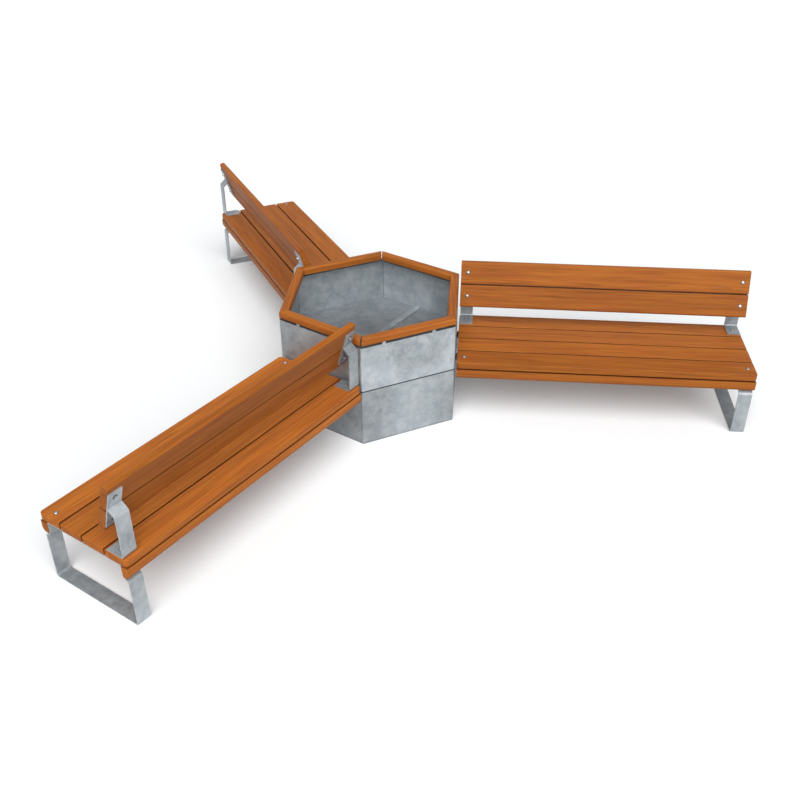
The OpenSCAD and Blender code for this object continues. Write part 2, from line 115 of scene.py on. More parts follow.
# The wood's patterns: changes per metre along and across the board, where they start, and their noise
Pattern = namedtuple("Pattern", "along across start detail roughness")
RIPPLE = Pattern(2.2, 60.0, 0.0, 2.0, 0.5)
PATCH = Pattern(1.6, 21.0, 3.0, 2.0, 0.5)
STREAK = Pattern(1.5, 90.0, 9.0, 3.0, 0.6)
STRIPE = Pattern(3.8, 240.0, 14.0, 3.0, 0.65)
PORE = Pattern(2.6, 210.0, 21.0, 1.0, 0.5)
BLUSH = Pattern(3.6, 48.0, 30.0, 2.0, 0.5)
FIBRE_SCALE = (14.0, 900.0, 900.0)
# The parts of each noise over which it goes from none to full
PATCH_BAND = (0.32, 0.68)
STREAK_BAND = (0.34, 0.66)
PORE_BAND = (0.58, 0.72)
BLUSH_BAND = (0.50, 0.68)
# The pith of the rings: how far aside, how far over or under, its climb per metre and how it wanders
PITH_ASIDE = 0.05
PITH_AWAY = (0.05, 0.11)
PITH_CLIMB = 0.016
PITH_WANDER = 0.05
WANDER_ALONG = 0.9
WANDER_ACROSS = 2.0
WANDER_DETAIL = 1.0
# How far off a board's patterns may start, and how deep its rings ripple
STARTS = 40.0
RIPPLE_DEPTH = 0.0022
# Where the dark late wood comes and goes in one ring
LATE_COMES = (0.35, 0.92)
LATE_GOES = (0.92, 1.0)
# How far the normal has to point along the board on a sawn end
END_BAND = (0.7, 0.95)
# How far short of a gap or joint its painted shade starts, and where it is full
GAP_SHADE_MARGIN = (0.0022, 0.0004)
JOINT_SHADE_MARGIN = (0.0035, 0.001)
# What each pattern adds to the dark wood, the roughness and the relief
HEART_BASE = 0.05
HEART_SHARES = {"patch": 0.25, "streak": 0.26, "late": 0.26, "stripe": 0.8, "fibre": 0.2}
WOOD_ROUGH_SHARES = {"fibre": 0.18, "late": -0.06, "end": 0.15}
WOOD_RELIEF_SHARES = {"late": 0.35, "fibre": 0.5, "streak": 0.3}

# Clouds in galvanised zinc: where they start, their noise, the part of it that counts, and their share
Cloud = namedtuple("Cloud", "start noise band share")
CLOUDS = {"sweep": Cloud((0.0, 0.0, 0.0), (1.4, 1.0, 0.5), (0.35, 0.65), 1.5),
          "cloud": Cloud((0.0, 0.0, 0.0), (3.2, 4.0, 0.55), (0.32, 0.68), 1.2),
          "patch": Cloud((3.1, 7.7, 1.3), (15.0, 5.0, 0.62), (0.32, 0.68), 1.0),
          "fleck": Cloud((9.3, 2.2, 5.5), (46.0, 4.0, 0.6), (0.35, 0.65), 0.6)}
TINT_BAND = (0.35, 0.65)
# The zinc's crystals are bent by a noise: its scale, and how far it moves them
WARP_SCALE = 30.0
WARP = (0.02, 0.02, 0.02)
# Other noises: scale, detail and roughness
ZINC_GRAIN = (420.0, 2.0, 0.6)
PLATE_GRAIN = (900.0, 3.0, 0.6)
PLATE_CLOUD = (90.0, 2.0, 0.5)
RUBBER_BLOOM = (60.0, 4.0, 0.6)
RUBBER_GRAIN = (1500.0, 2.0, 0.5)
# What the grain, the crystals and the clouds add to the tone, the roughness and the relief
GRAIN_CONTRAST = 0.08
ZINC_ROUGH_SHARES = {"facet": 0.16, "cloud": 0.2}
ZINC_RELIEF_SHARES = {"facet": 0.3, "grain": 0.5, "patch": 0.4}
# Where the zinc's pattern starts on the bars, the floor and its rib, and from one shell to the next
BAR_START = 4.0
FLOOR_START = 9.0
RIB_START = 6.0
SHELL_STEP = 2.0
# The height over which the painted shade on the steel on the ground fades out, and the painted shade at the
# seal and under the rim
GROUND_SHADE_BAND = (0.009, 0.016)
SEAL_MARGIN = (0.0035, 0.0015)
SEAL_SHADE = 0.7
LIP_MARGIN = (0.001, 0.0003)
LIP_SHADE = 0.6

# Zinc plate: the tone of its clouds, and the least tone of its grain with what the grain adds
PLATE_CLOUD_TONE = 0.75
PLATE_GRAIN_TONE = (0.94, 0.12)
PLATE_ROUGHNESS = 0.24
PLATE_ROUGH_SHARES = {"grain": 0.14, "cloud": 0.08}
PLATE_METALLIC = 0.9
# Rubber: the part of the noise that is bloom, and its roughness with what the grain adds
BLOOM_BAND = (0.4, 0.7)
RUBBER_ROUGHNESS = 0.62
RUBBER_GRAIN_ROUGHER = 0.2
# The bump of each finish: its depth in metres and its strength
WOOD_BUMP = (0.0006, 0.5)
ZINC_BUMP = (0.0004, 0.35)
PLATE_BUMP = (0.0002, 0.3)
RUBBER_BUMP = (0.0001, 0.4)

# The seed of the boards' random grain
SEED = 11

# The floor and walls as the camera sees them, the light from all round, and the camera's film
WHITE = (1.0, 1.0, 1.0)
FLOOR_SEEN = (0.975, 0.992, 1.0)
SKY_COLOUR = (0.97, 0.985, 1.0)
CEILING_BAND = (0.42, 0.70)
SENSOR = 36.0


# Node trees

class Wire:
    """A socket of a material's node tree. Arithmetic on it adds Math nodes."""

    def __init__(self, graph, socket):
        self.graph = graph
        self.socket = socket

    def maths(self, operation, *values, clamp=False):
        settings = {"operation": operation, "use_clamp": clamp}
        return self.graph.node("ShaderNodeMath", settings, dict(enumerate(values)))

    def __add__(self, other):
        return self.maths("ADD", self, other)

    def __radd__(self, other):
        return self.maths("ADD", other, self)

    def __sub__(self, other):
        return self.maths("SUBTRACT", self, other)

    def __rsub__(self, other):
        return self.maths("SUBTRACT", other, self)

    def __mul__(self, other):
        return self.maths("MULTIPLY", self, other)

    def __rmul__(self, other):
        return self.maths("MULTIPLY", other, self)

    def __truediv__(self, other):
        return self.maths("DIVIDE", self, other)

    def __pow__(self, other):
        return self.maths("POWER", self, other)

    def __abs__(self):
        return self.maths("ABSOLUTE", self)

    def clamped(self):
        return self.maths("ADD", self, 0.0, clamp=True)

    def centred(self):
        """A noise moved down, so that its middle is 0."""
        return self - MIDDLE

    def fraction(self):
        return self.maths("FRACT", self)

    def most(self, other):
        return self.maths("MAXIMUM", self, other)


class Graph:
    """The node tree of a material or a world, emptied."""

    def __init__(self, owner):
        owner.use_nodes = True
        self.owner = owner
        self.tree = owner.node_tree
        self.tree.nodes.clear()

    def node(self, kind, settings=None, inputs=None, output=0):
        """Adds a node: settings first, then the values or links of its sockets."""
        made = self.tree.nodes.new(kind)
        for key, value in (settings or {}).items():
            setattr(made, key, value)
        for key, value in (inputs or {}).items():
            self.plug(made.inputs[key], value)
        return Wire(self, made.outputs[output]) if made.outputs else None

    def plug(self, socket, value):
        if isinstance(value, Wire):
            self.tree.links.new(value.socket, socket)
        else:
            socket.default_value = value

    def place(self, turn=0.0, centre=(0.0, 0.0, 0.0)):
        """Object coordinates, turned back by an angle in degrees, with the centre moved to the origin."""
        here = self.node("ShaderNodeTexCoord", output="Object")
        turned = Matrix.Rotation(math.radians(-turn), 3, "Z") @ Vector(centre)
        return self.node("ShaderNodeMapping", {"vector_type": "POINT"},
                         {"Vector": here, "Location": tuple(-turned),
                          "Rotation": (0.0, 0.0, math.radians(-turn))})

    def facing(self, turn):
        """The way a surface faces, turned back by an angle in degrees."""
        normal = self.node("ShaderNodeTexCoord", output="Normal")
        return self.node("ShaderNodeMapping", {"vector_type": "NORMAL"},
                         {"Vector": normal, "Rotation": (0.0, 0.0, math.radians(-turn))})

    def stretched(self, vector, scale):
        return self.node("ShaderNodeVectorMath", {"operation": "MULTIPLY"}, {0: vector, 1: scale})

    def moved(self, vector, by):
        return self.node("ShaderNodeVectorMath", {"operation": "ADD"}, {0: vector, 1: by})

    def started(self, vector, start):
        """Coordinates moved aside, so that a pattern starts elsewhere."""
        return self.moved(vector, (start, start * START_SLANT, 0.0))

    def split(self, vector):
        parts = self.tree.nodes.new("ShaderNodeSeparateXYZ")
        self.plug(parts.inputs[0], vector)
        return [Wire(self, out) for out in parts.outputs]

    def joined(self, x, y, z):
        return self.node("ShaderNodeCombineXYZ", None, {"X": x, "Y": y, "Z": z})

    def noise(self, vector, scale=1.0, detail=2.0, roughness=0.5, output=0):
        inputs = {"Vector": vector, "Scale": scale, "Detail": detail, "Roughness": roughness}
        return self.node("ShaderNodeTexNoise", {"noise_dimensions": "3D"}, inputs, output)

    def grain(self, vector, start, pattern):
        """A noise that is drawn out along a board."""
        drawn = self.stretched(vector, (pattern.along, pattern.across, pattern.across))
        return self.noise(self.started(drawn, start + pattern.start), detail=pattern.detail,
                          roughness=pattern.roughness)

    def band(self, value, low, high):
        """0 below low, 1 above high, smooth between."""
        return self.node("ShaderNodeMapRange", {"interpolation_type": "SMOOTHSTEP"},
                         {"Value": value, "From Min": low, "From Max": high, "To Min": 0.0, "To Max": 1.0})

    def into(self, value, edge, margin):
        """0 until the margin's first length short of an edge, 1 from its second on."""
        return self.band(value, edge - margin[0], edge - margin[1])

    def mix(self, factor, first, second):
        """Two colours mixed. They are the node's sockets 6 and 7, and what comes out is its third."""
        inputs = {0: factor, 6: self.colour(first), 7: self.colour(second)}
        return self.node("ShaderNodeMix", {"data_type": "RGBA", "blend_type": "MIX"}, inputs, output=2)

    @staticmethod
    def colour(value):
        """A colour with its fourth number, or a link as it is."""
        if isinstance(value, Wire):
            return value
        return (*value, 1.0)

    def tinted(self, colour, value):
        """A colour made lighter or darker by a value round 1."""
        grey = self.joined(value, value, value)
        return self.node("ShaderNodeVectorMath", {"operation": "MULTIPLY"}, {0: colour, 1: grey})

    def bump(self, height, distance, strength):
        return self.node("ShaderNodeBump", None,
                         {"Height": height, "Distance": distance, "Strength": strength})

    def surface(self, **sockets):
        """Ends the tree with a Principled shader."""
        inputs = {key.replace("_", " "): value for key, value in sockets.items()}
        shader = self.node("ShaderNodeBsdfPrincipled", None, inputs)
        self.node("ShaderNodeOutputMaterial", None, {0: shader})
        return self.owner


def new_graph(name):
    """The node tree of a new material."""
    return Graph(bpy.data.materials.new(name))


def total(base, shares, **parts):
    """A base and a share of each part, added up."""
    for name, share in shares.items():
        base = base + parts[name] * share
    return base


# Finishes

def timber(name, turn, centre, draw, look, board):
    """Oiled softwood with its growth rings round a pith that runs along the board."""
    graph = new_graph(name)
    place = graph.place(turn, centre)
    pith_y = draw.uniform(-PITH_ASIDE, PITH_ASIDE)
    pith_z = draw.choice((-1, 1)) * draw.uniform(*PITH_AWAY)
    climb = draw.uniform(-PITH_CLIMB, PITH_CLIMB)
    start = draw.uniform(0.0, STARTS)
    along, across, height = graph.split(place)
    if board.lean:
        across, height = (across * math.sin(board.lean) + height * math.cos(board.lean),
                          across * math.cos(board.lean) - height * math.sin(board.lean))
    # The pith wanders and climbs along the board
    wander = graph.noise(graph.joined(along * WANDER_ALONG + start, start, across * WANDER_ACROSS),
                         detail=WANDER_DETAIL)
    ring_y = across - pith_y + wander.centred() * PITH_WANDER
    ring_z = height - pith_z + along * climb
    ripple = graph.grain(place, start, RIPPLE)
    radius = (ring_y * ring_y + ring_z * ring_z) ** 0.5 + ripple.centred() * RIPPLE_DEPTH
    ring = (radius / look.ring_width).fraction()
    late = graph.band(ring, *LATE_COMES) * (1.0 - graph.band(ring, *LATE_GOES))
    # Patches, streaks, dark pores and fine fibres, all drawn out along the board
    patch = graph.band(graph.grain(place, start, PATCH), *PATCH_BAND)
    streak = graph.grain(place, start, STREAK)
    stripe = graph.grain(place, start, STRIPE)
    pore = graph.band(graph.grain(place, start, PORE), *PORE_BAND)
    blush = graph.band(graph.grain(place, start, BLUSH), *BLUSH_BAND)
    fibre = graph.noise(graph.stretched(place, FIBRE_SCALE))
    heart = total(HEART_BASE, HEART_SHARES, patch=patch, streak=graph.band(streak, *STREAK_BAND), late=late,
                  stripe=stripe.centred(), fibre=fibre.centred())
    colour = graph.mix(heart.clamped(), look.light, look.dark)
    colour = graph.mix(blush * look.blush_share, colour, look.blush)
    # The sawn ends and the pores are darker, and the sides towards a gap or joint get painted shade
    end = graph.band(abs(graph.split(graph.facing(turn))[0]), *END_BAND)
    # Besides a random spread of the board's own, the tone holds the painted light and painted shade from
    # the list of tones
    tone = board.tone * (1.0 + draw.uniform(-1.0, 1.0) * look.board_spread)
    shade = (1.0 - end * look.end_darker) * (1.0 - pore * look.pore_darker) * tone
    for side in board.gaps:
        shade = shade * (1.0 - graph.into(across * side, board.half, GAP_SHADE_MARGIN) * look.painted_gap_shade)
    if board.joint:
        shade = shade * (1.0 - graph.into(height, board.joint, JOINT_SHADE_MARGIN) * look.painted_gap_shade)
    rough = total(look.roughness, WOOD_ROUGH_SHARES, fibre=fibre.centred(), late=late, end=end)
    relief = total(0.0, WOOD_RELIEF_SHARES, late=late, fibre=fibre, streak=streak)
    return graph.surface(Base_Color=graph.tinted(colour, shade), Roughness=rough,
                         Normal=graph.bump(relief, *WOOD_BUMP), Specular_IOR_Level=look.gloss)


def galvanised(name, look, tone, start=0.0, shell=False):
    """Zinc with a mottled spangle and cloudy patches. A shell gets painted shade along the seal and under
    the rim.
    """
    graph = new_graph(name)
    place = graph.place()
    here = graph.started(place, start)
    warp = graph.noise(here, WARP_SCALE, output="Color")
    bent = graph.node("ShaderNodeVectorMath", {"operation": "MULTIPLY_ADD"}, {0: warp, 1: WARP, 2: here})
    crystal = graph.node("ShaderNodeTexVoronoi", {"feature": "F1"}, {"Vector": bent, "Scale": look.spangle},
                         output="Color")
    facet = graph.split(crystal)[0]
    grain = graph.noise(here, *ZINC_GRAIN)
    noises = {kind: graph.noise(graph.moved(here, cloud.start), *cloud.noise)
              for kind, cloud in CLOUDS.items()}
    shade = 1.0 + facet.centred() * look.facet_contrast + grain.centred() * GRAIN_CONTRAST
    for kind, cloud in CLOUDS.items():
        shade = shade + graph.band(noises[kind], *cloud.band).centred() * (look.cloudiness * cloud.share)
    height = graph.split(place)[2]
    # Painted shade: what lies on the ground is darker
    shade = shade * (look.ground_painted_shade + (1.0 - look.ground_painted_shade) * graph.band(height, *GROUND_SHADE_BAND))
    if shell:
        # Painted shade along the seal and under the rim
        shade = shade * shell_painted_shade(graph, height)
    colour = graph.mix(graph.band(noises["patch"], *TINT_BAND), look.cool, look.warm)
    rough = total(look.roughness, ZINC_ROUGH_SHARES, facet=facet.centred(), cloud=noises["cloud"].centred())
    relief = total(0.0, ZINC_RELIEF_SHARES, facet=facet, grain=grain, patch=noises["patch"])
    return graph.surface(Base_Color=graph.tinted(colour, shade * tone), Roughness=rough,
                         Metallic=look.metallic, Normal=graph.bump(relief, *ZINC_BUMP))


def shell_painted_shade(graph, height):
    """The painted shade along the edges at the seal and on the flange under the rim, where the gaps lie in
    shade.
    """
    seal_low, seal_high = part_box("base_seal")[0].z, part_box("base_seal")[1].z
    flange_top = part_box("tub_half_right")[1].z
    far, near = SEAL_MARGIN
    seal_shade = (graph.band(height, seal_low - far, seal_low - near)
            * (1.0 - graph.band(height, seal_high + near, seal_high + far)))
    lip_shade = graph.into(height, flange_top, LIP_MARGIN)
    return (1.0 - seal_shade * SEAL_SHADE) * (1.0 - lip_shade * LIP_SHADE)


def zinc(name, bright):
    """Zinc plate on bolts and screws, and dark on the washer-shaped rings of painted shade."""
    graph = new_graph(name)
    here = graph.place()
    grain = graph.noise(here, *PLATE_GRAIN)
    cloud = graph.noise(here, *PLATE_CLOUD)
    least, gain = PLATE_GRAIN_TONE
    clouded = graph.mix(cloud, bright, graph.tinted(bright, PLATE_CLOUD_TONE))
    rough = total(PLATE_ROUGHNESS, PLATE_ROUGH_SHARES, grain=grain, cloud=cloud)
    return graph.surface(Base_Color=graph.tinted(clouded, least + grain * gain), Roughness=rough,
                         Metallic=PLATE_METALLIC, Normal=graph.bump(grain, *PLATE_BUMP))


def rubber(name, dark, pale):
    """Seal rubber or sealant with a fine bloom."""
    graph = new_graph(name)
    here = graph.place()
    bloom = graph.band(graph.noise(here, *RUBBER_BLOOM), *BLOOM_BAND)
    grain = graph.noise(here, *RUBBER_GRAIN)
    return graph.surface(Base_Color=graph.mix(bloom, dark, pale),
                         Roughness=RUBBER_ROUGHNESS + grain * RUBBER_GRAIN_ROUGHER,
                         Normal=graph.bump(grain, *RUBBER_BUMP))


# Sizes and colours

class BENCH_PG_timber(bpy.types.PropertyGroup):
    light: bpy.props.FloatVectorProperty(
        name="Light wood", description="Colour of the lighter wood", subtype="COLOR", size=3,
        default=(0.50, 0.158, 0.020), min=0.0, max=1.0)
    dark: bpy.props.FloatVectorProperty(
        name="Dark wood", description="Colour of the darker streaks", subtype="COLOR", size=3,
        default=(0.20, 0.048, 0.008), min=0.0, max=1.0)
    ring_width: bpy.props.FloatProperty(
        name="Ring width", description="Width of one growth ring", unit="LENGTH",
        default=0.0048, min=0.001, max=0.02)
    board_spread: bpy.props.FloatProperty(
        name="Board spread", description="How much the boards differ in brightness",
        default=0.07, min=0.0, max=0.3)
    blush: bpy.props.FloatVectorProperty(
        name="Red streaks", description="Colour of the reddish streaks", subtype="COLOR", size=3,
        default=(0.40, 0.088, 0.022), min=0.0, max=1.0)
    blush_share: bpy.props.FloatProperty(
        name="Red share", description="How strong the reddish streaks are", default=0.38, min=0.0, max=1.0)
    pore_darker: bpy.props.FloatProperty(
        name="Pores", description="How much darker the long pores are", default=0.34, min=0.0, max=0.9)
    # Painted shade on the sides of the boards towards a gap and over the rails' joint
    painted_gap_shade: bpy.props.FloatProperty(
        name="Gap sides", description="How much darker the sides towards a gap are",
        default=0.60, min=0.0, max=0.9)
    end_darker: bpy.props.FloatProperty(
        name="End grain", description="How much darker the end grain is", default=0.05, min=0.0, max=0.8)
    roughness: bpy.props.FloatProperty(
        name="Roughness", description="Roughness of the oiled wood", default=0.58, min=0.1, max=1.0)
    gloss: bpy.props.FloatProperty(
        name="Gloss", description="How strongly the oiled wood shines", default=0.2, min=0.0, max=1.0)


class BENCH_PG_boards(bpy.types.PropertyGroup):
    edge: bpy.props.FloatProperty(
        name="Edge", description="Rounding of the planks' edges", unit="LENGTH",
        default=0.004, min=0.001, max=0.014)
    seat_corner: bpy.props.FloatProperty(
        name="Seat corner", description="Rounding of the seat's four corners", unit="LENGTH",
        default=0.023, min=0.006, max=0.03)
    end_corner: bpy.props.FloatProperty(
        name="End corner", description="Rounding of the other corners", unit="LENGTH",
        default=0.005, min=0.003, max=0.01)
    slat_round: bpy.props.FloatProperty(
        name="Slat rounding", description="Rounding of the slats' outer edges", unit="LENGTH",
        default=0.012, min=0.001, max=0.02)
    slat_edge: bpy.props.FloatProperty(
        name="Slat edge", description="Rounding along the joint between the slats", unit="LENGTH",
        default=0.0055, min=0.002, max=0.014)
    slat_width: bpy.props.FloatProperty(
        name="Slat width", description="Width of a slat across the backrest", unit="LENGTH",
        default=0.1535, min=0.14, max=0.155)
    rail_gap: bpy.props.FloatProperty(
        name="Rail joint", description="How far the rails' tops are planed down", unit="LENGTH",
        default=0.008, min=0.001, max=0.012)


class BENCH_PG_steel(bpy.types.PropertyGroup):
    cool: bpy.props.FloatVectorProperty(
        name="Cool zinc", description="Colour of the bluer zinc", subtype="COLOR", size=3,
        default=(0.385, 0.425, 0.455), min=0.0, max=1.0)
    warm: bpy.props.FloatVectorProperty(
        name="Grey zinc", description="Colour of the greyer zinc", subtype="COLOR", size=3,
        default=(0.42, 0.448, 0.465), min=0.0, max=1.0)
    bolt: bpy.props.FloatVectorProperty(
        name="Bolt zinc", description="Colour of the bolts", subtype="COLOR", size=3,
        default=(0.62, 0.62, 0.62), min=0.0, max=1.0)
    # The washers paint the shade round the heads and nuts as thin dark rings
    washer: bpy.props.FloatVectorProperty(
        name="Washer", description="Colour of the washers", subtype="COLOR", size=3,
        default=(0.10, 0.085, 0.075), min=0.0, max=1.0)
    washer_radius: bpy.props.FloatProperty(
        name="Washer radius", description="Outer radius of the washers under the heads", unit="LENGTH",
        default=0.0145, min=0.011, max=0.02)
    nut_washer_radius: bpy.props.FloatProperty(
        name="Nut washer radius", description="Outer radius of the washers under the nuts", unit="LENGTH",
        default=0.0145, min=0.0095, max=0.02)
    spangle: bpy.props.FloatProperty(
        name="Spangle", description="Zinc crystals per metre", default=48.0, min=5.0, max=200.0)
    cloudiness: bpy.props.FloatProperty(
        name="Cloudiness", description="Contrast of the cloudy patches", default=0.17, min=0.0, max=1.0)
    # Painted shade on the steel that lies on the ground
    ground_painted_shade: bpy.props.FloatProperty(
        name="Ground tone", description="Brightness of the steel that lies on the ground",
        default=0.78, min=0.0, max=1.0)
    facet_contrast: bpy.props.FloatProperty(
        name="Crystal contrast", description="Contrast between zinc crystals",
        default=0.08, min=0.0, max=0.5)
    roughness: bpy.props.FloatProperty(
        name="Roughness", description="Roughness of the zinc", default=0.52, min=0.1, max=1.0)
    metallic: bpy.props.FloatProperty(
        name="Metal share", description="How metallic the weathered zinc looks",
        default=0.55, min=0.0, max=1.0)


class BENCH_PG_seal(bpy.types.PropertyGroup):
    dark: bpy.props.FloatVectorProperty(
        name="Rubber", description="Colour of the seal", subtype="COLOR", size=3,
        default=(0.020, 0.022, 0.024), min=0.0, max=1.0)
    bloom: bpy.props.FloatVectorProperty(
        name="Bloom", description="Colour of the bloom on the seal", subtype="COLOR", size=3,
        default=(0.045, 0.047, 0.05), min=0.0, max=1.0)
    sealant: bpy.props.FloatVectorProperty(
        name="Sealant", description="Colour of the sealant in the upright joints", subtype="COLOR", size=3,
        default=(0.17, 0.178, 0.185), min=0.0, max=1.0)
    sealant_bloom: bpy.props.FloatVectorProperty(
        name="Sealant bloom", description="Colour of the bloom on the sealant", subtype="COLOR", size=3,
        default=(0.23, 0.238, 0.245), min=0.0, max=1.0)
    bead_width: bpy.props.FloatProperty(
        name="Bead width", description="Width of the bead of sealant", unit="LENGTH",
        default=0.0036, min=0.002, max=0.01)


class BENCH_PG_stage(bpy.types.PropertyGroup):
    floor_size: bpy.props.FloatProperty(
        name="Floor size", description="Length of the floor's side", unit="LENGTH", default=60.0, min=5.0)
    floor_colour: bpy.props.FloatVectorProperty(
        name="Floor", description="Colour of the floor", subtype="COLOR", size=3,
        default=(0.45, 0.455, 0.46), min=0.0, max=1.0)
    floor_lift: bpy.props.FloatProperty(
        name="Floor lift", description="Share of plain white in the floor as the camera sees it",
        default=0.04, min=0.0, max=1.0)
    ceiling: bpy.props.FloatVectorProperty(
        name="Ceiling", description="Colour that polished metal reflects from above", subtype="COLOR",
        size=3, default=(0.20, 0.20, 0.20), min=0.0, max=1.0)
    sky: bpy.props.FloatProperty(
        name="Sky", description="Strength of the light from all round", default=0.20, min=0.0, max=5.0)
    key_power: bpy.props.FloatProperty(
        name="Key lamp", description="Strength of the large soft lamp", default=3.6, min=0.0)
    key_spread: bpy.props.FloatProperty(
        name="Key spread", description="How wide the large lamp looks from the bench", subtype="ANGLE",
        default=math.radians(60.0), min=0.0, max=math.pi)
    key_place: bpy.props.FloatVectorProperty(
        name="Key place", description="Where the large lamp's light comes from", subtype="TRANSLATION",
        unit="LENGTH", size=3, default=(1.2, -6.6, 7.4))
    eye: bpy.props.FloatVectorProperty(
        name="Camera place", description="Where the camera stands", subtype="TRANSLATION", unit="LENGTH",
        size=3, default=(0.6415, -5.5931, 3.6460))
    tilt: bpy.props.FloatVectorProperty(
        name="Camera turn", description="The camera's rotation", subtype="EULER", size=3,
        default=(math.radians(56.4372), math.radians(-0.0314), math.radians(4.7037)))
    lens: bpy.props.FloatProperty(
        name="Lens", description="Focal length on a 36 mm sensor", default=42.845, min=10.0, max=300.0)


# Operators

def dress(node, material):
    """Gives a CAD node its material."""
    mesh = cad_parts[node].data
    mesh.materials.clear()
    mesh.materials.append(material)


class BENCH_OT_timber(bpy.types.Operator):
    """Give every board its own piece of oiled softwood"""
    bl_idname = "bench.timber"
    bl_label = "Timber"

    def execute(self, context):
        draw = random.Random(SEED)
        look = context.scene.bench_timber
        rail_gap = context.scene.bench_boards.rail_gap
        for arm, turn in ARMS.items():
            for pattern, gaps in BOARDS.items():
                self.dress_board(pattern.format(arm), turn, draw, look, gaps, rail_gap)
        for number, turn in enumerate(RIM_TURNS, 1):
            self.dress_board(f"rim_board_{number}", turn, draw, look, (), 0.0)
        return {"FINISHED"}

    @staticmethod
    def dress_board(node, turn, draw, look, gaps, rail_gap):
        """Gives a board its own timber. Slats lean, and rails have a joint under the planks."""
        low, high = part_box(node)
        lean = BACK_LEAN if node.startswith("slat") else 0.0
        half = SLAT_WIDTH / 2 if lean else PLANK_WIDTH / 2
        joint = (high.z - low.z) / 2 - rail_gap if node.startswith("rail") else 0.0
        # The tone from the list of tones brings the board's painted light and painted shade
        board = Board(lean, half, gaps, joint, TONES_AND_PAINTED_LIGHT.get(node, 1.0))
        dress(node, timber("timber_" + node, turn, (low + high) / 2, draw, look, board))


def piece_of(name, shape, material, replaced=None):
    """Links a finished shape as a piece that rides on the bench, and closes its bmesh."""
    bmesh.ops.recalc_face_normals(shape, faces=shape.faces)
    mesh = bpy.data.meshes.new(name)
    shape.to_mesh(mesh)
    shape.free()
    mesh.materials.append(material)
    piece = bpy.data.objects.new(name, mesh)
    bpy.context.scene.collection.objects.link(piece)
    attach(piece, BODY)
    if replaced:
        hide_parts(replaced)


def bevelled(shape, edges, radius, steps):
    bmesh.ops.bevel(shape, geom=list(edges), offset=radius, offset_type="OFFSET", segments=steps,
                    profile=0.5, affect="EDGES", clamp_overlap=True, material=-1)


def edges_at(shape, axis, value):
    """The edges that lie in a plane across an axis."""
    return [edge for edge in shape.edges if all(abs(vert.co[axis] - value) < NEAR for vert in edge.verts)]


def edges_along(edges, axis):
    """Those of the edges that run along an axis, or slant towards it."""
    return [edge for edge in edges if abs(edge.verts[0].co[axis] - edge.verts[1].co[axis]) > NEAR]


def sawn_board(size):
    """A board with sharp edges, centred on the origin."""
    shape = bmesh.new()
    bmesh.ops.create_cube(shape, size=1.0)
    bmesh.ops.scale(shape, vec=size, verts=shape.verts)
    return shape


def turned_about(shape, degrees):
    bmesh.ops.rotate(shape, cent=(0.0, 0.0, 0.0), matrix=Matrix.Rotation(math.radians(degrees), 3, "Z"),
                     verts=shape.verts)


